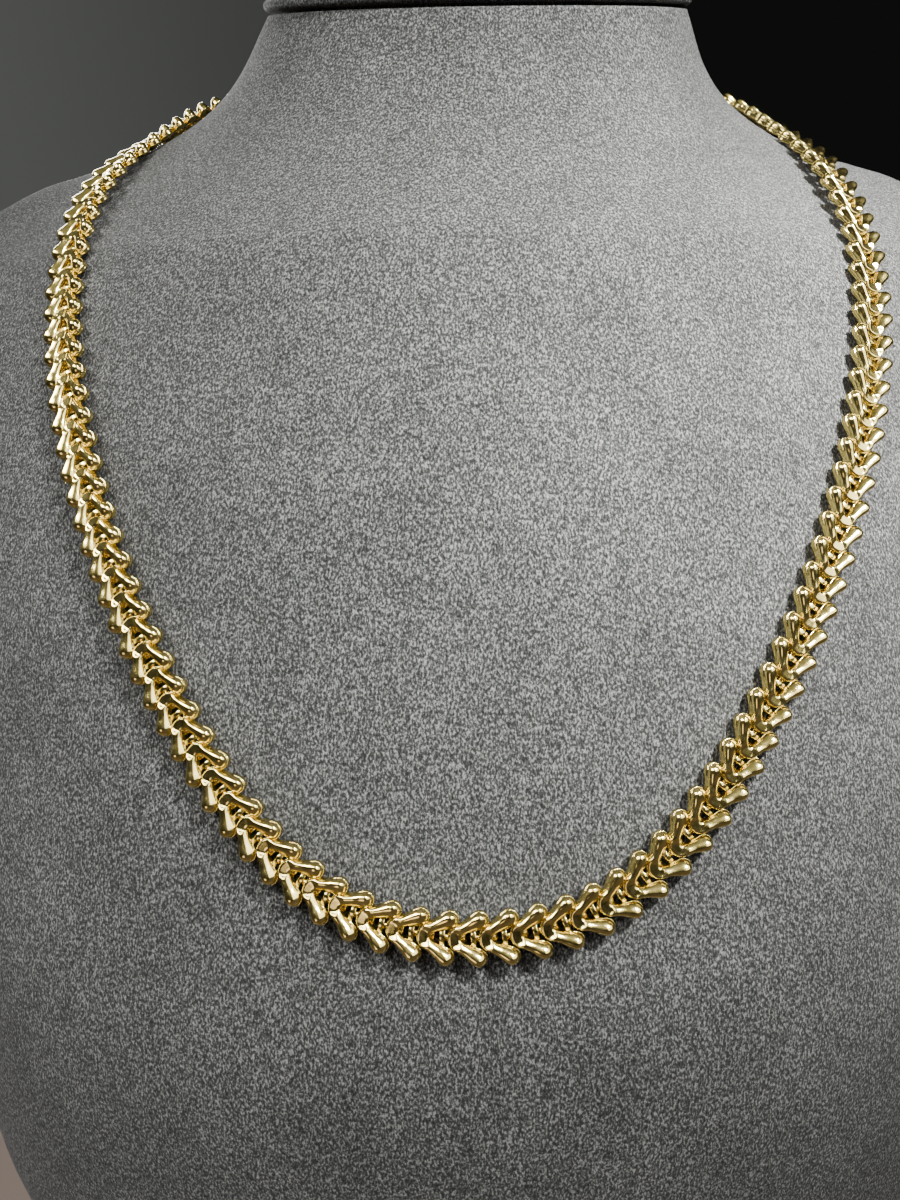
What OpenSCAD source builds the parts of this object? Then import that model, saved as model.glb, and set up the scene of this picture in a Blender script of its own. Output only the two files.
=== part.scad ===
// Gold wheat chain: V links with two swelling grains each, pinned one to the next,
// lying in a whole loop on a plain grey suede neck bust.
// The front of the chest faces -Y, +X is to the right of someone who looks at it, +Z is up.
// The origin is the middle of the flat base.

/* [Chain] */
// Distance from one hinge pin to the next
link_pitch = 4.2; // [4.1:0.05:4.3]
// Links in the whole loop
link_count = 116; // [116:2:116]
// Clearance of the hinge line above the guide route
chain_lift = 0.3; // [0.25:0.05:0.6]

/* [Link] */
// Distance from the hinge to the point of the V, in pitches
vertex_reach = 0.34; // [0.32:0.01:0.36]
// Distance along the chain from the point of the V to the middle of a bulb, in pitches
bulb_reach = 0.85; // [0.8:0.01:0.88]
// Half of the distance between the two bulbs of a link
bulb_side = 2.44; // [2.4:0.02:2.6]
// Radius of a bulb
bulb_r = 1.2; // [1.1:0.05:1.2]
// Radius of the crossbar pin
pin_r = 0.22; // [0.2:0.01:0.24]
// Radius of the knuckle around the pin
knuckle_r = 0.62; // [0.6:0.01:0.64]
// Width of the knuckle
knuckle_w = 0.8; // [0.8:0.1:1.0]

/* [Clasp] */
// Width of the clasp
clasp_w = 5.0; // [4:0.5:6]
// Thickness of the clasp
clasp_t = 2.2; // [1.8:0.1:2.4]

/* [Neck bust] */
// How far the top of the neck leans to the viewer's right
neck_lean = 2.9; // [0:0.1:4]
// Thickness of the plate on top of the neck
cap_t = 3.0; // [2:0.5:4]
// How far the plate stands out past the neck
cap_lip = 0.8; // [0.4:0.1:1.2]
// Gap between the neck and the rim of the plate
cap_gap = 0.6; // [0.4:0.1:1]

/* [Hidden] */

// Section table of the bust, from the base up. Each section is a wide oval in plan:
// z         height of its middle
// y_mid     place of its middle, front to back
// half_w    half of its width
// front     depth from its middle to the front
// back      depth from its middle to the back
// flat      how strongly the front and back are pulled flat beside the middle
// slope     rise for each millimetre towards the back
SECTIONS = [
    // z,    y_mid, half_w, front, back, flat, slope
    [0,      0,      72,      36,     36,    0,      0],
    [35,     1,      90,      48,     34,    0,      0],
    [75,     4,      95.5,    56,     35,    0,      0],
    [115,    10.5,   100,     54.5,   34,    0,      0],
    [155,    15.5,   103.5,   51,     32,    0.2,    0],
    [188,    21,     104,     47,     30,    0.5,    0.05],
    [205,    24.5,   98,      43,     28,    0.7,    0.08],
    [214.5,  27.5,   86,      39,     26,    0.74,   0.12],
    [218.5,  28.5,   74,      37,     28,    0.66,   0.18],
    [223.5,  29,     59,      36,     28,    0.36,   0.28],
    [233,    28.5,   47,      33.5,   28,    0.17,   0.33],
    [246,    27,     40,      29.5,   28,    0,      0.41],
];
// How many rows of the mesh lie between each section and the next
ROW_STEPS = [3, 3, 4, 4, 4, 4, 4, 3, 4, 4, 4];
// Points round each row of the bust
ring_n = 72;
// The lean of the neck starts at this height and is full this much higher
lean_z = 205;
lean_rise = 41;

// Guide table of the chain, one half of the loop from the middle of the chest to the nape:
// x, y, z        a guide point beside the surface of the bust
// out_x, y, z    the way that the front of the chain faces there
ROUTE = [
    // x,   y,     z,     out_x, out_y, out_z
    [0,    -50,    96.5,  0,     -0.95, 0.25],
    [16.5, -48.5,  99,    0.1,   -0.95, 0.25],
    [30,   -44,    108.5, 0.15,  -0.95, 0.2],
    [40,   -39,    122,   0.25,  -0.95, 0.2],
    [48.5, -33.5,  136,   0.3,   -0.95, 0.2],
    [55.5, -27.5,  151,   0.35,  -0.9,  0.25],
    [61,   -20.5,  166,   0.35,  -0.85, 0.3],
    [65,   -12.5,  181,   0.4,   -0.85, 0.4],
    [66.5, -4,     196,   0.4,   -0.75, 0.5],
    [65,   6.5,    210,   0.35,  -0.65, 0.7],
    [60.5, 18.5,   219.5, 0.35,  -0.45, 0.8],
    [54.5, 30.5,   228.5, 0.6,   -0.1,  0.8],
    [45,   41,     235,   0.65,  0.5,   0.55],
    [31.5, 50,     238,   0.5,   0.85,  0.25],
    [16.5, 56,     239.5, 0.25,  0.95,  0.1],
    [0,    58.5,   241,   0,     1,     0.1],
];
// Samples of the route between each guide point and the next
route_steps = 10;

vertex_x = vertex_reach * link_pitch;
vertex_z = 0.4;
vertex_r = 0.78;
arm_start_r = 0.62;
arm_end_r = 0.92;
bulb_x = vertex_x + bulb_reach * link_pitch;
bulb_z = 0.55;
bore_r = pin_r + 0.2;
pin_half = 1.9;
strap_t = 0.7;
strap_reach = 1.2;
half_links = link_count / 2;
fine = 32;

// Value of a smooth curve through four neighbouring rows of a table
function blend4(a, b, c, d, t) =
    0.5 * (2 * b + (c - a) * t + (2 * a - 5 * b + 4 * c - d) * t * t
        + (3 * b - a - 3 * c + d) * t * t * t);
// Row of a table carried on past its two ends in a straight line
function row_at(table, i) =
    i < 0 ? 2 * table[0] - table[1] :
    i >= len(table) ? 2 * table[len(table) - 1] - table[len(table) - 2] : table[i];
// Section of the bust between section i and the next, t of the way
function section(i, t) =
    blend4(row_at(SECTIONS, i - 1), row_at(SECTIONS, i), row_at(SECTIONS, i + 1), row_at(SECTIONS, i + 2), t);
// Sideways lean of the neck at a height
function lean(z) = neck_lean * pow(min(1, max(0, (z - lean_z) / lean_rise)), 1.5);
// Point of a section at an angle from the front, moved out or in by grow and up by rise
function section_point(s, angle, grow = 0, rise = 0) =
    let (depth = cos(angle) >= 0 ? s[3] + grow : s[4] + grow,
         dy = -depth * cos(angle) * (1 - s[5] * pow(sin(angle), 2)),
         z = s[0] + s[6] * dy + rise)
    [(s[2] + grow) * sin(angle) + lean(s[0]), s[1] + dy, z];
// One ring of points round a section
function ring(s, grow = 0, rise = 0) =
    [for (k = [0 : ring_n - 1]) section_point(s, 360 * k / ring_n, grow, rise)];
// Middle of a ring
function middle(r) = (r[0] + r[ring_n / 2]) / 2;

// Guide row carried on past the two ends of the half loop by its mirror image
function mirrored(row) = [-row[0], row[1], row[2], -row[3], row[4], row[5]];
function guide(i) =
    i < 0 ? mirrored(ROUTE[-i]) :
    i >= len(ROUTE) ? mirrored(ROUTE[2 * len(ROUTE) - 2 - i]) : ROUTE[i];
// Value of a uniform cubic spline at t of the way from guide row i to the next
function spline(i, t) =
    (pow(1 - t, 3) * guide(i - 1) + (3 * pow(t, 3) - 6 * t * t + 4) * guide(i)
        + (3 * t * t + 3 * t - 3 * pow(t, 3) + 1) * guide(i + 1) + pow(t, 3) * guide(i + 2)) / 6;
function unit(v) = v / norm(v);
// Hinge line on one side of the loop, side 1 on the right and -1 on the left
function hinge_line(side) =
    [for (k = [0 : (len(ROUTE) - 1) * route_steps])
        let (i = floor(k / route_steps),
             row = spline(i, k / route_steps - i),
             out = unit([row[3], row[4], row[5]]),
             place = [row[0], row[1], row[2]] + chain_lift * out)
        concat([side * place[0] + lean(place[2]), place[1], place[2]], [side * out[0], out[1], out[2]])];
function place_of(row) = [row[0], row[1], row[2]];
// Distance along a hinge line up to each of its points
function travel(line) =
    [for (k = 0, s = 0; k < len(line); s = s + (k + 1 < len(line)
        ? norm(place_of(line[k + 1]) - place_of(line[k])) : 0), k = k + 1) s];
// Column tables that look a value up by the distance along the line
function columns(line) =
    let (s = travel(line)) [for (c = [0 : 5]) [for (k = [0 : len(line) - 1]) [s[k], line[k][c]]]];
RIGHT = columns(hinge_line(1));
LEFT = columns(hinge_line(-1));
// Row of the hinge line at a distance from the middle of the chest, negative on the left
function at(distance) =
    let (side = distance < 0 ? LEFT : RIGHT) [for (c = [0 : 5]) lookup(abs(distance), side[c])];
function hinge(j) = place_of(at(j * link_pitch));
function out_at(j) = let (row = at(j * link_pitch)) [row[3], row[4], row[5]];

// Puts children in a frame with x from a to b and z as near as can be to out
module placed(a, b, out) {
    ex = unit(b - a);
    ey = unit(cross(out, ex));
    ez = cross(ex, ey);
    multmatrix([
        [ex[0], ey[0], ez[0], a[0]],
        [ex[1], ey[1], ez[1], a[1]],
        [ex[2], ey[2], ez[2], a[2]],
        [0, 0, 0, 1]
    ]) children();
}

// Round bar across the chain, centred on the middle line at x
module crossbar(x, r, half) {
    translate([x, 0, 0]) rotate([90, 0, 0]) cylinder(h = 2 * half, r = r, center = true);
}

// One grain of a link: a round arm that swells from the point of the V to its bulb
module grain(side) {
    arm = [bulb_x - vertex_x, side * bulb_side, bulb_z - vertex_z];
    length = norm(arm);
    translate([vertex_x, 0, vertex_z])
        rotate([0, acos(arm[2] / length), atan2(arm[1], arm[0])])
            rotate_extrude() grain_profile(length);
}

// Half of the outline of a grain, from its axis out
module grain_profile(length) {
    polygon([[0, 0], [arm_start_r, 0], [arm_end_r, length], [0, length]]);
    intersection() {
        translate([0, length]) circle(r = bulb_r);
        square([2 * bulb_r, length + 2 * bulb_r]);
    }
}

// One link, with its knuckle at the origin and its pin one pitch along x
module link() {
    grain(1);
    grain(-1);
    translate([vertex_x, 0, vertex_z]) sphere(r = vertex_r);
    crossbar(link_pitch, pin_r, pin_half);
    knuckle(strap_reach);
}

// Knuckle round the hinge at the origin, with a strap that runs on to reach
module knuckle(reach) {
    difference() {
        union() {
            crossbar(0, knuckle_r, knuckle_w / 2);
            translate([0, -knuckle_w / 2, -strap_t / 2]) cube([reach, knuckle_w, strap_t]);
        }
        crossbar(0, bore_r, knuckle_w);
    }
}

// Run of links from one hinge to another
module links(first, last) {
    for (j = [first : last - 1]) placed(hinge(j), hinge(j + 1), out_at(j + 0.5)) link($fn = fine);
}

// The half of the chain on the viewer's left, from the nape to the middle of the chest
module chain_left() {
    color("gold") links(-half_links, 0);
}

// The other half, from the middle of the chest to the nape
module chain_right() {
    color("gold") links(0, half_links);
}

// Plain clasp at the nape, from the last pin of the chain to its first knuckle
module clasp() {
    a = hinge(half_links);
    b = hinge(-half_links);
    length = norm(b - a);
    body_start = 2.4;
    body_end = length - 2.2;
    body_z = 0.45;
    cheek_in = 0.85;
    cheek_w = 0.9;
    cheek_t = 1.5;
    tip = 0.7;
    color("gold") placed(a, b, [0, 1, 0.1]) {
        knuckle(body_start + 0.4, $fn = fine);
        translate([body_start, 0, body_z]) rotate([90, 0, 90]) linear_extrude(body_end - body_start)
            stadium(clasp_w, clasp_t, $fn = fine);
        for (side = [-1, 1])
            translate([body_end - 0.4, side * (cheek_in + cheek_w / 2) - cheek_w / 2, body_z - cheek_t / 2 - 0.1])
                cube([length - body_end + 0.4 + tip, cheek_w, cheek_t]);
        crossbar(length, pin_r, cheek_in + cheek_w / 2, $fn = fine);
    }
}

// Long outline with round ends
module stadium(w, t) {
    square([w - t, t], center = true);
    for (side = [-1, 1]) translate([side * (w - t) / 2, 0]) circle(r = t / 2);
}

// Closed skin over a stack of rings, each a list of ring_n points
module skin(rings) {
    rows = len(rings);
    points = [for (r = rings, p = r) p];
    ends = [middle(rings[0]), middle(rings[rows - 1])];
    low_mid = rows * ring_n;
    sides = [for (i = [0 : rows - 2], k = [0 : ring_n - 1])
        let (a = i * ring_n + k, b = i * ring_n + (k + 1) % ring_n)
        each [[a, b + ring_n, b], [a, a + ring_n, b + ring_n]]];
    low = [for (k = [0 : ring_n - 1]) [k, (k + 1) % ring_n, low_mid]];
    high = [for (k = [0 : ring_n - 1]) let (top = (rows - 1) * ring_n)
        [top + (k + 1) % ring_n, top + k, low_mid + 1]];
    polyhedron(concat(points, ends), concat(sides, low, high));
}

module neck_bust() {
    last = len(SECTIONS) - 1;
    rings = [for (i = [0 : last - 1], k = [0 : ROW_STEPS[i] - 1]) ring(section(i, k / ROW_STEPS[i]))];
    color("dimgray") skin(concat(rings, [ring(SECTIONS[last])]));
}

// Plate on the neck: it rests on the neck inside its rim, and the rim hangs out past the neck
module neck_cap() {
    top = SECTIONS[len(SECTIONS) - 1];
    foot = 3;
    bevel = 0.6;
    color("dimgray") skin([
        ring(top, -foot, 0),
        ring(top, -foot, cap_gap),
        ring(top, cap_lip - bevel, cap_gap),
        ring(top, cap_lip, cap_gap + bevel),
        ring(top, cap_lip, cap_t - bevel),
        ring(top, cap_lip - bevel, cap_t),
    ]);
}

chain_left();
chain_right();
clasp();
neck_bust();
neck_cap();
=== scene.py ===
# Looks of a gold wheat chain on a plain grey suede neck bust.
# Lengths are in millimetres until they go into a mesh, a light or the camera.
import math

import bpy
import numpy as np
from mathutils import Matrix, Vector


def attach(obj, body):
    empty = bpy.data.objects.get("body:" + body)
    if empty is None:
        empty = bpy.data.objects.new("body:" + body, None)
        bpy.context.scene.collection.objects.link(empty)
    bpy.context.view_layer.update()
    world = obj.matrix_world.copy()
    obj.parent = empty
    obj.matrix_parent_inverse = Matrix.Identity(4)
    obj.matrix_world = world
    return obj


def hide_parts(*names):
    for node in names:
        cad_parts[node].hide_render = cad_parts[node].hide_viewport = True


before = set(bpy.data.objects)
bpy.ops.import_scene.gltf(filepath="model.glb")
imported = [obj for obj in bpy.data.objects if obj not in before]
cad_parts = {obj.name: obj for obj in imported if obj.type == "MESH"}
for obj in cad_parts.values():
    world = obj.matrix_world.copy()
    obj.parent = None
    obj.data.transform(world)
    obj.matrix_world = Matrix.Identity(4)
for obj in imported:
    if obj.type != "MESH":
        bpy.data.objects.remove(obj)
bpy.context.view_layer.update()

MM = 0.001
GOLD_SLOT = "gold"
SUEDE_SLOT = "suede"

# Camera: the photo's place and angle to the bust, as a fit gave them, rounded
CAMERA_PLACE = (-1.5, -162.3, 160.9)
CAMERA_PITCH = 8.84
CAMERA_YAW = -0.59
CAMERA_ROLL = -0.62
FRAME_HEIGHT_PX = 1200
FOCAL_PX = 900
SENSOR = 36.0

# Chain, as in the CAD model
LINK_PITCH = 4.2
LINK_COUNT = 116
CHAIN_LIFT = 0.3
HALF_LINKS = LINK_COUNT // 2
# Guide points of the hinge line over one half of the loop, and the way the chain faces there.
# All rows are the rounded result of a least-squares fit made outside this script, and not a
# worked-out design.
ROUTE = np.array([
    # x,   y,     z,     out_x, out_y, out_z
    [0,    -50,   96.5,  0,     -0.95, 0.25],
    [16.5, -48.5, 99,    0.1,   -0.95, 0.25],
    [30,   -44,   108.5, 0.15,  -0.95, 0.2],
    [40,   -39,   122,   0.25,  -0.95, 0.2],
    [48.5, -33.5, 136,   0.3,   -0.95, 0.2],
    [55.5, -27.5, 151,   0.35,  -0.9,  0.25],
    [61,   -20.5, 166,   0.35,  -0.85, 0.3],
    [65,   -12.5, 181,   0.4,   -0.85, 0.4],
    [66.5, -4,    196,   0.4,   -0.75, 0.5],
    [65,   6.5,   210,   0.35,  -0.65, 0.7],
    [60.5, 18.5,  219.5, 0.35,  -0.45, 0.8],
    [54.5, 30.5,  228.5, 0.6,   -0.1,  0.8],
    [45,   41,    235,   0.65,  0.5,   0.55],
    [31.5, 50,    238,   0.5,   0.85,  0.25],
    [16.5, 56,    239.5, 0.25,  0.95,  0.1],
    [0,    58.5,  241,   0,     1,     0.1],
])
MIRROR = np.array([-1, 1, 1, -1, 1, 1])
ROUTE_STEPS = 10

# Neck bust, as in the CAD model: one wide oval section to a row. Part of the values, most of
# all in y_mid and front, are rounded results of such fits. The others were chosen.
SECTIONS = np.array([
    # z,    y_mid, half_w, front, back, flat, slope
    [0,      0,      72,      36,     36,    0,      0],
    [35,     1,      90,      48,     34,    0,      0],
    [75,     4,      95.5,    56,     35,    0,      0],
    [115,    10.5,   100,     54.5,   34,    0,      0],
    [155,    15.5,   103.5,   51,     32,    0.2,    0],
    [188,    21,     104,     47,     30,    0.5,    0.05],
    [205,    24.5,   98,      43,     28,    0.7,    0.08],
    [214.5,  27.5,   86,      39,     26,    0.74,   0.12],
    [218.5,  28.5,   74,      37,     28,    0.66,   0.18],
    [223.5,  29,     59,      36,     28,    0.36,   0.28],
    [233,    28.5,   47,      33.5,   28,    0.17,   0.33],
    [246,    27,     40,      29.5,   28,    0,      0.41],
])
# Sideways lean of the neck (from the fit too), where it starts, its rise and how it grows
NECK_LEAN = 2.9
LEAN_Z = 205
LEAN_RISE = 41
LEAN_POWER = 1.5
CAP_T = 3.0
CAP_LIP = 0.8
CAP_GAP = 0.6
CAP_FOOT = 3
CAP_EDGE_STEPS = 8
# Rows of the bust's cover from each section to the next, points in a row of the cover and of
# the cap, and how far the cover lies inside the solid, so that its finer curve stays in the box
COVER_STEPS = (8, 10, 12, 14, 14, 12, 12, 10, 10, 14, 16)
COVER_POINTS = 240
CAP_POINTS = 180
COVER_INSET = 0.03
# Easing of the hollow between the neck and the chest, in front
NECK_FOOT_Z = 224
NECK_FOOT_BAND = 26
NECK_FOOT_PASSES = 1800
NECK_FOOT_FADE = 2.5


def unit(v):
    v = np.asarray(v, float)
    return v / np.linalg.norm(v, axis=-1, keepdims=True)


def lean(z):
    return NECK_LEAN * np.clip((z - LEAN_Z) / LEAN_RISE, 0, 1) ** LEAN_POWER


# Hinge line of the chain

def guide(i):
    last = len(ROUTE) - 1
    if i < 0:
        return ROUTE[-i] * MIRROR
    if i > last:
        return ROUTE[2 * last - i] * MIRROR
    return ROUTE[i]


def spline(i, t):
    """Uniform cubic spline at t of the way from guide row i to the next."""
    weights = ((1 - t) ** 3, 3 * t ** 3 - 6 * t * t + 4, 3 * t * t + 3 * t - 3 * t ** 3 + 1, t ** 3)
    return sum(w * guide(i + k - 1) for k, w in enumerate(weights)) / 6


def hinge_line(side):
    """Points of the hinge line on one side, and the outward direction at each."""
    rows = []
    for k in range((len(ROUTE) - 1) * ROUTE_STEPS + 1):
        i = k // ROUTE_STEPS
        row = spline(i, k / ROUTE_STEPS - i)
        out = unit(row[3:])
        x, y, z = row[:3] + CHAIN_LIFT * out
        rows.append([side * x + lean(z), y, z, side * out[0], out[1], out[2]])
    rows = np.array(rows)
    steps = np.linalg.norm(np.diff(rows[:, :3], axis=0), axis=1)
    return np.concatenate([[0], np.cumsum(steps)]), rows


LINES = {side: hinge_line(side) for side in (-1, 1)}


def chain_at(distance):
    travel, rows = LINES[-1 if distance < 0 else 1]
    return np.array([np.interp(abs(distance), travel, rows[:, c]) for c in range(6)])


def link_frame(j):
    """Rotation and place of link j, from its hinge j to hinge j + 1."""
    a, b = chain_at(j * LINK_PITCH)[:3], chain_at((j + 1) * LINK_PITCH)[:3]
    ex = unit(b - a)
    ey = unit(np.cross(chain_at((j + 0.5) * LINK_PITCH)[3:], ex))
    return np.stack([ex, ey, np.cross(ex, ey)], axis=1), a


# One link, as a mesh in its own frame: x along the chain, y across, z out

BULB = (5.0, 2.44)
V_LEFT = 0.65
BEND_R = 1.1
# Share of the bend's radius that the inner side of a grain may fill
BEND_FILL = 0.97
MIDDLE_Z = 0.55
# Sizes of a grain along its arm, from the point of the V (0) to the middle of the bulb (1)
HALF_WIDTH = ((0, 1.0), (0.25, 0.9), (0.46, 0.84), (0.66, 0.94), (0.86, 1.15), (1, 1.23))
DOME_R = ((0, 0.93), (0.25, 0.83), (0.46, 0.77), (0.66, 0.87), (0.86, 1.08), (1, 1.16))
TOP = ((0, 0.8), (0.25, 0.85), (0.46, 0.84), (0.66, 0.9), (0.86, 1.04), (1, 1.09))
DEPTH = ((0, 0.8), (0.5, 0.85), (1, 1.05))
# Flat round saddle at the point of the V: its place, radius, height, and the slope out of it
SADDLE_X = 1.5
SADDLE_R = 0.95
SADDLE_TOP = 0.48
SADDLE_SLOPE = 0.7
SADDLE_BLEND = 0.08
# Outline of a grain across its arm: a smooth dome above, and flanks that flare out in ribs.
# Each rib: notch and rib as shares of the way from the dome out to the half width, and the
# height of the notch as a share of the top or the depth
DOME_ANGLES = (0, 15, 30, 45, 60, 75, 90)
RIBS = ((0.0, 0.7, 0.0), (0.2, 1.0, -0.46))
RIB_HALF = 0.16
# Upper and lower edge of a rib below its notch, in halves of a rib
RIB_EDGES = (0.5, 1.9)
FOOT = ((0.8, -0.9), (0.4, -1.0), (0, -1.0))
# Lean of the grains' tops to the inside of the V, and the height from which it is in full
TILT = 0.28
TILT_FULL = 0.8
ARM_ROWS = 14
BEND_ROWS = 8
TIP_TURNS = 8
NO_LIMIT = 9
# Bar across the opening of the V, at the hinge
BAR_HALF_W = 0.36
BAR_EDGE = 0.12
BAR_LOW = -0.5
BAR_HIGH = 0.42
BAR_REACH = 1.45
# Plain bars along the chain, from the hinge to the V and behind the point of the V:
# start, end, half width, low and high side
HINGE_STRAP = (0.3, 1.3, 0.4, -0.35, 0.25)
POINT_WEB = (2.0, 3.1, 0.8, -0.42, 0.1)


def smooth_steps(table, t):
    """Value at t of a smooth curve through a table of (place, value), flat at its two ends."""
    xs, ys = (np.array(c, float) for c in zip(*table))
    slopes = np.gradient(ys, xs)
    slopes[0] = slopes[-1] = 0
    i = int(np.clip(np.searchsorted(xs, t) - 1, 0, len(xs) - 2))
    h = xs[i + 1] - xs[i]
    u = (t - xs[i]) / h
    return ((2 * u ** 3 - 3 * u * u + 1) * ys[i] + (u ** 3 - 2 * u * u + u) * h * slopes[i]
            + (3 * u * u - 2 * u ** 3) * ys[i + 1] + (u ** 3 - u * u) * h * slopes[i + 1])


def smooth_min(a, b, blend):
    near = np.maximum(blend - np.abs(a - b), 0) / blend
    return np.minimum(a, b) - near * near * blend / 4


def half_outline(t):
    """Outline of a grain on one side, from the top of the dome to the middle of the foot."""
    half, dome, top, depth = (smooth_steps(table, t) for table in (HALF_WIDTH, DOME_R, TOP, DEPTH))
    points = []
    for a in np.radians(DOME_ANGLES):
        points.append((dome * math.sin(a), top - dome * (1 - math.cos(a))))
    for notch, rib, height in RIBS:
        for share, drop in ((notch, 0), (rib, RIB_HALF * RIB_EDGES[0]), (rib, RIB_HALF * RIB_EDGES[1])):
            z = height - drop
            points.append((dome + (half - dome) * share, z * (top if z > 0 else depth)))
    points += [(half * x, depth * z) for x, z in FOOT]
    return np.array(points)


def section_points(points, place, direction, limit, inward=1.0):
    """Points of an outline set up at a place, its top leaning to the inside of the V."""
    xy = place + np.minimum(points[:, 0], limit)[:, None] * direction
    xy[:, 1] = np.maximum(xy[:, 1], 0)
    away = np.hypot(xy[:, 0] - SADDLE_X, xy[:, 1]) - SADDLE_R
    cap = SADDLE_TOP + SADDLE_SLOPE * (away + np.hypot(away, SADDLE_BLEND)) / 2
    z = points[:, 1] - TILT * inward * points[:, 0] * np.clip(points[:, 1] / TILT_FULL, 0, 1)
    return np.column_stack([xy, MIDDLE_Z + smooth_min(z, cap, SADDLE_BLEND)])


def whole_outline(t):
    side = half_outline(t)
    return np.vstack([side, side[-2:0:-1] * (-1, 1)])


def grain_mesh():
    """Vertices and faces of one V link, made as one arm and its mirror image."""
    tip = half_outline(1)
    m = len(tip)
    n = 2 * m - 2
    centre = np.array([V_LEFT + HALF_WIDTH[0][1] + BEND_R, 0.0])
    bulb = np.array(BULB)
    reach = bulb - centre
    angle = math.atan2(reach[1], reach[0]) - math.asin(BEND_R / np.linalg.norm(reach))
    along = np.array([math.cos(angle), math.sin(angle)])
    inward = np.array([along[1], -along[0]])
    straight = reach @ along
    total = straight + BEND_R * (math.pi / 2 - angle)
    rows = []
    for s in np.linspace(0, straight, ARM_ROWS):
        rows.append(section_points(whole_outline(1 - s / total), bulb - along * s, inward, NO_LIMIT))
    for turn in (math.pi / 2 - angle) * np.arange(1, BEND_ROWS + 1) / BEND_ROWS:
        normal = np.array([math.sin(angle + turn), -math.cos(angle + turn)])
        outline = whole_outline(1 - (straight + BEND_R * turn) / total)
        rows.append(section_points(outline, centre - BEND_R * normal, normal, BEND_R * BEND_FILL))
    faces = []
    for i in range(len(rows) - 1):
        for k in range(n):
            a, b = i * n + k, i * n + (k + 1) % n
            faces.append((a, b, b + n, a + n))
    # Round end of the bulb: the half outline turned from the inner to the outer side
    tip_start = len(rows) * n
    inner = m - 2
    for turn in np.pi * np.arange(1, TIP_TURNS) / TIP_TURNS:
        direction = inward * math.cos(turn) + along * math.sin(turn)
        rows.append(section_points(tip[1:-1], bulb, direction, NO_LIMIT, math.cos(turn)))
    strips = [[0] + list(range(1, m - 1)) + [m - 1]]
    for i in range(TIP_TURNS - 1):
        strips.append([0] + list(range(tip_start + i * inner, tip_start + (i + 1) * inner)) + [m - 1])
    strips.append([0] + list(range(n - 1, m - 1, -1)) + [m - 1])
    for low, high in zip(strips, strips[1:]):
        for k in range(m - 1):
            face = (low[k], high[k], high[k + 1], low[k + 1])
            faces.append(tuple(dict.fromkeys(face)))
    half = np.vstack(rows)
    middle = range((ARM_ROWS + BEND_ROWS - 1) * n, (ARM_ROWS + BEND_ROWS) * n)
    own = [i for i in range(len(half)) if i not in middle]
    twin = np.arange(len(half))
    twin[own] = len(half) + np.arange(len(own))
    faces += [tuple(int(twin[i]) for i in reversed(f)) for f in faces]
    return np.vstack([half, half[own] * (1, -1, 1)]), faces


def crossbar_mesh():
    """Bar across the opening of the V at the hinge: a narrow block with rounded long edges."""
    wide, low, high, edge = BAR_HALF_W - BAR_EDGE, BAR_LOW + BAR_EDGE, BAR_HIGH - BAR_EDGE, BAR_EDGE
    profile = []
    for x, z, start in ((wide, high, 0), (-wide, high, 90), (-wide, low, 180), (wide, low, 270)):
        for step in range(4):
            a = math.radians(start + 30 * step)
            profile.append((x + edge * math.cos(a), z + edge * math.sin(a)))
    sides = len(profile)
    vertices = [(x, y, z) for y in (-BAR_REACH, BAR_REACH) for x, z in profile]
    faces = [(k, k + sides, (k + 1) % sides + sides, (k + 1) % sides) for k in range(sides)]
    faces.append(tuple(range(sides)))
    faces.append(tuple(sides + k for k in reversed(range(sides))))
    return np.array(vertices), faces


def strap_mesh(x0, x1, half, low, high):
    """Plain bar along the chain."""
    vertices = [(x, y, z) for x in (x0, x1) for y in (-half, half) for z in (low, high)]
    faces = [(0, 1, 3, 2), (4, 6, 7, 5), (0, 4, 5, 1), (2, 3, 7, 6), (0, 2, 6, 4), (1, 5, 7, 3)]
    return np.array(vertices), faces


def joined(parts):
    vertices, faces, start = [], [], 0
    for v, f in parts:
        vertices.append(v)
        faces += [tuple(i + start for i in face) for face in f]
        start += len(v)
    return np.vstack(vertices), faces


def new_object(name, vertices, faces, smooth=True):
    mesh = bpy.data.meshes.new(name)
    mesh.from_pydata([tuple(v) for v in vertices], [], faces)
    mesh.validate()
    if smooth:
        mesh.polygons.foreach_set("use_smooth", [True] * len(mesh.polygons))
    mesh.update()
    made = bpy.data.objects.new(name, mesh)
    bpy.context.scene.collection.objects.link(made)
    return made


def chain_piece(name, first, last):
    """Links first to last - 1 as one mesh."""
    v, f = joined([grain_mesh(), crossbar_mesh(), strap_mesh(*HINGE_STRAP), strap_mesh(*POINT_WEB)])
    parts = []
    for j in range(first, last):
        turn, place = link_frame(j)
        parts.append((v @ turn.T + place, f))
    vertices, faces = joined(parts)
    return new_object(name, vertices * MM, faces)


# Neck bust

def section_rows(steps):
    """Section table carried through a smooth curve, with steps rows between each section and the next."""
    table = np.vstack([2 * SECTIONS[0] - SECTIONS[1], SECTIONS, 2 * SECTIONS[-1] - SECTIONS[-2]])
    rows = []
    for i in range(len(SECTIONS) - 1):
        p0, p1, p2, p3 = table[i:i + 4]
        for t in np.arange(steps[i]) / steps[i]:
            rows.append(0.5 * (2 * p1 + (p2 - p0) * t + (2 * p0 - 5 * p1 + 4 * p2 - p3) * t ** 2
                               + (3 * p1 - p0 - 3 * p2 + p3) * t ** 3))
    rows.append(SECTIONS[-1])
    return rows


def ring(section, count, grow=0.0, rise=0.0):
    z, y_mid, half_w, front, back, flat, slope = section
    a = 2 * np.pi * np.arange(count) / count
    depth = np.where(np.cos(a) >= 0, front, back) + grow
    dy = -depth * np.cos(a) * (1 - flat * np.sin(a) ** 2)
    return np.stack([(half_w + grow) * np.sin(a) + lean(z), y_mid + dy, z + slope * dy + rise], axis=1)


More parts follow.
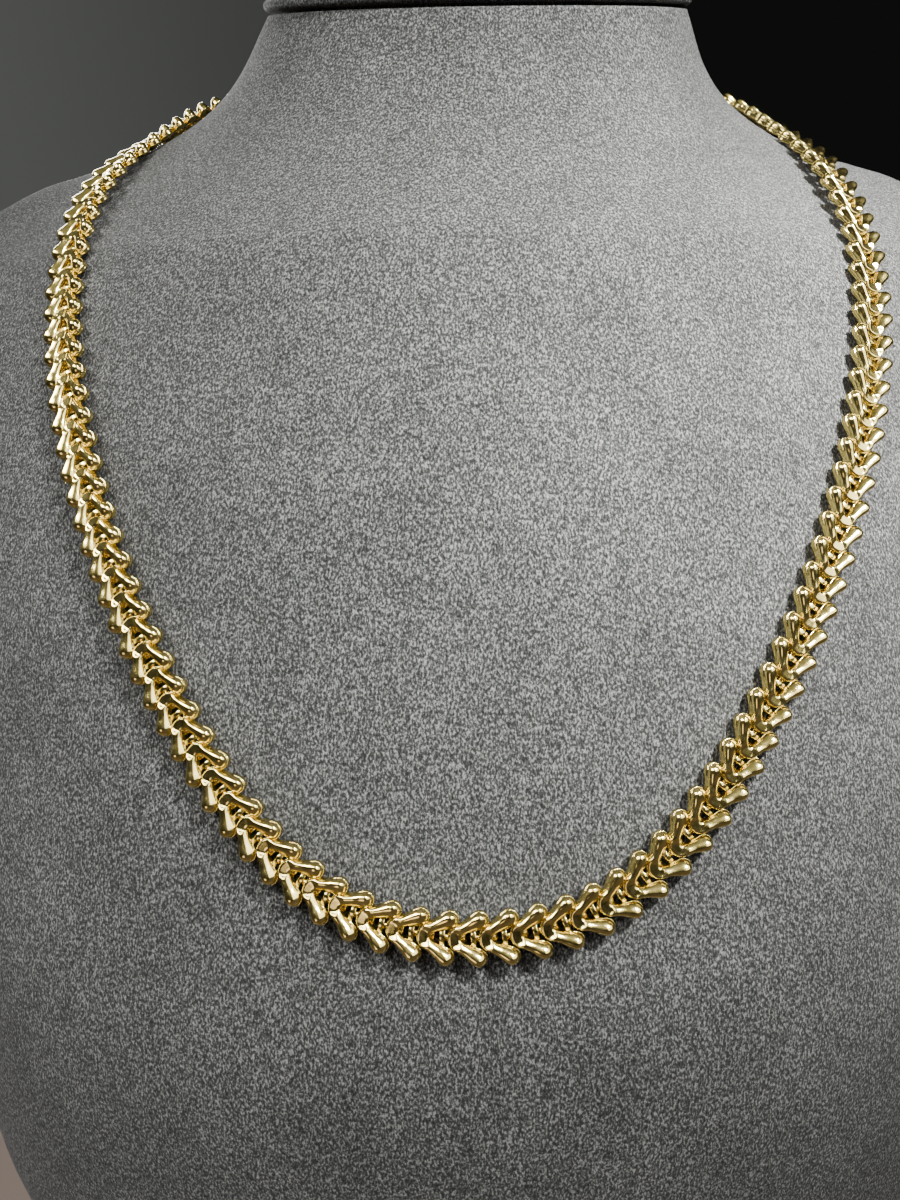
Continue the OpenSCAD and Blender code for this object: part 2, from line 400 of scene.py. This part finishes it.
def skin(rings):
    n = len(rings[0])
    vertices = np.vstack(rings + [rings[0].mean(0)[None], rings[-1].mean(0)[None]])
    faces = []
    for i in range(len(rings) - 1):
        for k in range(n):
            a, b = i * n + k, i * n + (k + 1) % n
            faces.append((a, b, b + n, a + n))
    low, high = len(rings) * n, len(rings) * n + 1
    top = (len(rings) - 1) * n
    faces += [((k + 1) % n, k, low) for k in range(n)]
    faces += [(top + k, top + (k + 1) % n, high) for k in range(n)]
    return vertices, faces


def softened(rings):
    """Rows of the bust with the hollow between neck and chest eased in front."""
    rows = np.array(rings)
    z = rows[:, :, 2].mean(axis=1)
    a = 2 * np.pi * np.arange(rows.shape[1]) / rows.shape[1]
    band = np.clip(1 - np.abs(z - NECK_FOOT_Z) / NECK_FOOT_BAND, 0, 1)
    front = np.maximum(np.cos(a), 0) ** NECK_FOOT_FADE
    share = np.sqrt(band)[:, None, None] * front[None, :, None]
    for _ in range(NECK_FOOT_PASSES):
        mean = rows.copy()
        mean[1:-1] = (rows[:-2] + 2 * rows[1:-1] + rows[2:]) / 4
        rows = rows + share * (mean - rows)
    return list(rows)


def bust_piece():
    rings = [ring(s, COVER_POINTS, -COVER_INSET) for s in section_rows(COVER_STEPS)]
    vertices, faces = skin(softened(rings))
    return new_object("bust_cover", vertices * MM, faces)


def cap_piece():
    top = SECTIONS[-1]
    rings = [ring(top, CAP_POINTS, -CAP_FOOT), ring(top, CAP_POINTS, -CAP_FOOT, CAP_GAP)]
    lip = CAP_T - CAP_GAP
    for k in range(CAP_EDGE_STEPS + 1):
        a = math.radians(-90 + 180 * k / CAP_EDGE_STEPS)
        grow = CAP_LIP - lip / 2 + lip / 2 * math.cos(a)
        rings.append(ring(top, CAP_POINTS, grow, CAP_GAP + lip / 2 * (1 + math.sin(a))))
    vertices, faces = skin(rings)
    return new_object("cap_cover", vertices * MM, faces)


# Materials

def shader(material):
    material.use_nodes = True
    nodes, links = material.node_tree.nodes, material.node_tree.links
    return nodes, links, nodes["Principled BSDF"]


def gold_material():
    material = bpy.data.materials.new("polished_gold")
    nodes, links, bsdf = shader(material)
    place = nodes.new("ShaderNodeTexCoord")
    wear = nodes.new("ShaderNodeTexNoise")
    wear.inputs["Scale"].default_value = 1400
    wear.inputs["Detail"].default_value = 3
    links.new(place.outputs["Object"], wear.inputs["Vector"])
    tone = nodes.new("ShaderNodeValToRGB")
    tone.color_ramp.elements[0].position = 0.3
    tone.color_ramp.elements[0].color = (0.69, 0.545, 0.15, 1)
    tone.color_ramp.elements[1].position = 0.7
    tone.color_ramp.elements[1].color = (0.8, 0.655, 0.25, 1)
    links.new(wear.outputs["Fac"], tone.inputs["Fac"])
    links.new(tone.outputs["Color"], bsdf.inputs["Base Color"])
    rough = nodes.new("ShaderNodeMapRange")
    rough.inputs["From Min"].default_value = 0.3
    rough.inputs["From Max"].default_value = 0.7
    rough.inputs["To Min"].default_value = 0.13
    rough.inputs["To Max"].default_value = 0.2
    links.new(wear.outputs["Fac"], rough.inputs["Value"])
    links.new(rough.outputs["Result"], bsdf.inputs["Roughness"])
    bump = nodes.new("ShaderNodeBump")
    bump.inputs["Strength"].default_value = 0.15
    bump.inputs["Distance"].default_value = 0.00005
    links.new(wear.outputs["Fac"], bump.inputs["Height"])
    links.new(bump.outputs["Normal"], bsdf.inputs["Normal"])
    bsdf.inputs["Metallic"].default_value = 1
    return material


def noise(nodes, links, vector, scale, detail, roughness=0.5):
    node = nodes.new("ShaderNodeTexNoise")
    node.inputs["Scale"].default_value = scale
    node.inputs["Detail"].default_value = detail
    node.inputs["Roughness"].default_value = roughness
    links.new(vector, node.inputs["Vector"])
    return node.outputs["Fac"]


def suede_material():
    """Short grey nap: fine strokes of light and dark hairs under broad, faint clouds of brushing."""
    material = bpy.data.materials.new("grey_suede")
    nodes, links, bsdf = shader(material)
    place = nodes.new("ShaderNodeTexCoord")
    stretch = nodes.new("ShaderNodeMapping")
    stretch.inputs["Scale"].default_value = (1, 1, 0.6)
    links.new(place.outputs["Object"], stretch.inputs["Vector"])
    nap = noise(nodes, links, stretch.outputs["Vector"], 3400, 3, 0.6)
    cloud = noise(nodes, links, place.outputs["Object"], 45, 4, 0.6)
    shade = nodes.new("ShaderNodeValToRGB")
    for position, grey in ((0.33, 0.006), (0.5, 0.028), (0.67, 0.15)):
        stop = shade.color_ramp.elements.new(position)
        stop.color = (grey, grey * 1.01, grey * 0.96, 1)
    shade.color_ramp.elements.remove(shade.color_ramp.elements[-1])
    shade.color_ramp.elements.remove(shade.color_ramp.elements[0])
    links.new(nap, shade.inputs["Fac"])
    patch = nodes.new("ShaderNodeMapRange")
    patch.inputs["From Min"].default_value = 0.3
    patch.inputs["From Max"].default_value = 0.7
    patch.inputs["To Min"].default_value = 0.8
    patch.inputs["To Max"].default_value = 1.15
    links.new(cloud, patch.inputs["Value"])
    tint = nodes.new("ShaderNodeVectorMath")
    tint.operation = "SCALE"
    links.new(shade.outputs["Color"], tint.inputs[0])
    links.new(patch.outputs["Result"], tint.inputs["Scale"])
    links.new(tint.outputs["Vector"], bsdf.inputs["Base Color"])
    bump = nodes.new("ShaderNodeBump")
    bump.inputs["Strength"].default_value = 1.0
    bump.inputs["Distance"].default_value = 0.00035
    links.new(nap, bump.inputs["Height"])
    links.new(bump.outputs["Normal"], bsdf.inputs["Normal"])
    bsdf.inputs["Roughness"].default_value = 0.95
    bsdf.inputs["Specular IOR Level"].default_value = 0.1
    bsdf.inputs["Sheen Weight"].default_value = 0.06
    bsdf.inputs["Sheen Roughness"].default_value = 0.4
    return material


def plain_material(name, colour, roughness):
    material = bpy.data.materials.new(name)
    _, _, bsdf = shader(material)
    bsdf.inputs["Base Color"].default_value = (*colour, 1)
    bsdf.inputs["Roughness"].default_value = roughness
    return material


# Stage, light and camera

FLOOR_HALF = 3000


def floor_piece():
    corners = [(x * FLOOR_HALF, y * FLOOR_HALF, 0) for x, y in ((-1, -1), (1, -1), (1, 1), (-1, 1))]
    floor = new_object("floor", np.array(corners) * MM, [(0, 1, 2, 3)], smooth=False)
    floor.data.materials.append(plain_material("floor", (0.09, 0.065, 0.05), 0.8))


WHITE = (1, 1, 1)
# Soft panels: name, place, aim, size, watts, spread in degrees, colour
PANELS = (
    ("key", (250, -260, 500), (60, -20, 195), (120, 100), 0.78, 22, WHITE),
    ("window", (430, -370, 385), (0, -40, 150), (560, 300), 2.5, 180, WHITE),
    ("low_left", (-137, -349, 50), (0, -40, 140), (120, 110), 0.12, 180, (1, 0.84, 0.76)),
    ("top_left", (-210, -370, 480), (-10, -40, 135), (240, 130), 0.2, 50, WHITE),
    ("left", (-400, -230, 520), (-65, -10, 135), (200, 160), 0.46, 44, WHITE),
    ("back", (-260, 420, 420), (0, 20, 190), (220, 220), 1.2, 90, WHITE),
)


def soft_light(name, place, target, size, power, spread, colour):
    light = bpy.data.lights.new(name, "AREA")
    light.spread = math.radians(spread)
    light.shape = "RECTANGLE"
    light.size, light.size_y = size[0] * MM, size[1] * MM
    light.energy = power
    light.color = colour
    lamp = bpy.data.objects.new(name, light)
    bpy.context.scene.collection.objects.link(lamp)
    lamp.location = Vector(place) * MM
    lamp.rotation_mode = "QUATERNION"
    lamp.rotation_quaternion = (Vector(target) - Vector(place)).to_track_quat("-Z", "Y")


# Room round the bust: what the gold mirrors. A lobe is a soft patch of sky in one direction.
# direction (x to the right, y to the back, z up), full within / gone beyond (degrees), radiance
LOBES = (
    ((0, -1, 0.1), 40, 105, 0.045),
    ((0.75, -0.55, 0.35), 15, 50, 0.12),
    ((-0.1, -0.45, 0.88), 20, 45, 0.18),
)
# Dark patches: direction, full within / gone beyond, share of the light taken away
DARK_PATCHES = (
    ((-0.55, -0.82, 0.12), 14, 40, 0.8),
    ((0.35, -0.93, -0.02), 14, 28, 0.8),
)
BACK_LEFT = 0.085
BACK_RIGHT = 0.006


def lobe(nodes, links, direction, way, full, gone, value):
    """Value within an angle of one way, falling to nothing at a wider angle."""
    dot = nodes.new("ShaderNodeVectorMath")
    dot.operation = "DOT_PRODUCT"
    dot.inputs[1].default_value = unit(way)
    links.new(direction, dot.inputs[0])
    fade = nodes.new("ShaderNodeMapRange")
    fade.interpolation_type = "SMOOTHSTEP"
    fade.inputs["From Min"].default_value = math.cos(math.radians(gone))
    fade.inputs["From Max"].default_value = math.cos(math.radians(full))
    fade.inputs["To Max"].default_value = value
    links.new(dot.outputs["Value"], fade.inputs["Value"])
    return fade.outputs["Result"]


def combine(nodes, links, operation, a, b):
    node = nodes.new("ShaderNodeMath")
    node.operation = operation
    for socket, value in zip(node.inputs, (a, b)):
        if isinstance(value, (int, float)):
            socket.default_value = value
        else:
            links.new(value, socket)
    return node.outputs["Value"]


def surroundings():
    """Room with a dim wall behind, darker to the right, and pale light in front and above."""
    world = bpy.data.worlds.new("studio")
    world.use_nodes = True
    nodes, links = world.node_tree.nodes, world.node_tree.links
    direction = nodes.new("ShaderNodeTexCoord").outputs["Generated"]
    wall = nodes.new("ShaderNodeMapRange")
    wall.inputs["From Min"].default_value = -0.4
    wall.inputs["From Max"].default_value = 0.2
    wall.inputs["To Min"].default_value = BACK_LEFT
    wall.inputs["To Max"].default_value = BACK_RIGHT
    split = nodes.new("ShaderNodeSeparateXYZ")
    links.new(direction, split.inputs["Vector"])
    links.new(split.outputs["X"], wall.inputs["Value"])
    level = wall.outputs["Result"]
    for way, full, gone, value in LOBES:
        level = combine(nodes, links, "ADD", level, lobe(nodes, links, direction, way, full, gone, value))
    for way, full, gone, value in DARK_PATCHES:
        shade = combine(nodes, links, "SUBTRACT", 1.0, lobe(nodes, links, direction, way, full, gone, value))
        level = combine(nodes, links, "MULTIPLY", level, shade)
    links.new(level, nodes["Background"].inputs["Strength"])
    nodes["Background"].inputs["Color"].default_value = (0.96, 1, 0.94, 1)
    bpy.context.scene.world = world


def camera():
    pitch, yaw, roll = (math.radians(a) for a in (CAMERA_PITCH, CAMERA_YAW, CAMERA_ROLL))
    forward = np.array([math.sin(yaw) * math.cos(pitch), math.cos(yaw) * math.cos(pitch), -math.sin(pitch)])
    right = np.array([math.cos(yaw), -math.sin(yaw), 0])
    up = np.cross(right, forward)
    right, up = right * math.cos(roll) + up * math.sin(roll), up * math.cos(roll) - right * math.sin(roll)
    lens = bpy.data.cameras.new("camera")
    lens.sensor_width = SENSOR
    lens.lens = SENSOR * FOCAL_PX / FRAME_HEIGHT_PX
    lens.clip_start = 0.005
    lens.clip_end = 20
    cam = bpy.data.objects.new("camera", lens)
    bpy.context.scene.collection.objects.link(cam)
    turn = Matrix([(right[i], up[i], -forward[i]) for i in range(3)]).to_4x4()
    cam.matrix_world = Matrix.Translation(Vector(CAMERA_PLACE) * MM) @ turn
    bpy.context.scene.camera = cam


# Pieces

gold = gold_material()
suede = suede_material()

left = chain_piece("wheat_chain_left", -HALF_LINKS, 0)
right = chain_piece("wheat_chain_right", 0, HALF_LINKS)
bust = bust_piece()
cap = cap_piece()
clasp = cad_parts["clasp"]
COVERS = (
    (left, GOLD_SLOT, gold, "chain_left"),
    (right, GOLD_SLOT, gold, "chain_right"),
    (bust, SUEDE_SLOT, suede, "neck_bust"),
    (cap, SUEDE_SLOT, suede, "neck_cap"),
)
for piece, slot, material, node in COVERS:
    piece.data.materials.append(material)
    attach(piece, "root")
    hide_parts(node)
clasp.data.materials.clear()
clasp.data.materials.append(gold)

floor_piece()
surroundings()
for panel in PANELS:
    soft_light(*panel)
camera()
